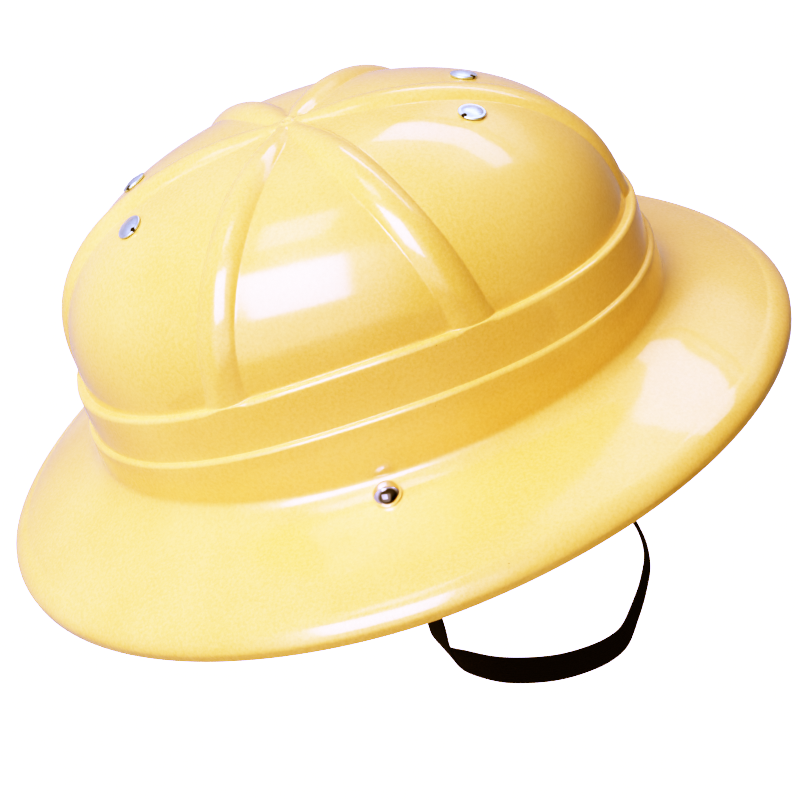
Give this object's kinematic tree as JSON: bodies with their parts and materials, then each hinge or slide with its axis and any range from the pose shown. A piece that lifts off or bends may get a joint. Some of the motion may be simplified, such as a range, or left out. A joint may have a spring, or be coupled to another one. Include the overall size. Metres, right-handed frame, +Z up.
{
  "type": "pith helmet",
  "caption": "Glossy moulded plastic pith helmet with a ribbed crown, a stepped band, a wide flared brim, domed metal studs, strap rivets and a flat elastic chin strap.",
  "frame": {"origin": "middle of the head opening, level with the foot of the band, where the helmet sits on a head", "axes": "+Z up through the crown, front of the helmet towards -Y, +X towards the helmet's left side when worn, the side with the rivet that shows"},
  "size_m": [0.3114, 0.33, 0.2891],
  "materials": {
    "shell_plastic": "glossy moulded tan plastic",
    "stud_steel": "bright, slightly blue",
    "rivet_chrome": "polished",
    "washer_steel": "plain",
    "strap_elastic": "flat woven black elastic"
  },
  "bodies": {
    "root": {"shell": "shell_plastic", "crown_stud_front_left": "stud_steel", "crown_stud_front_right": "stud_steel", "crown_stud_back_left": "stud_steel", "crown_stud_back_right": "stud_steel", "strap_rivet_left": "rivet_chrome", "strap_rivet_right": "rivet_chrome", "rivet_washer_left": "washer_steel", "rivet_washer_right": "washer_steel", "chin_strap": "strap_elastic"}
  },
  "joints": []
}
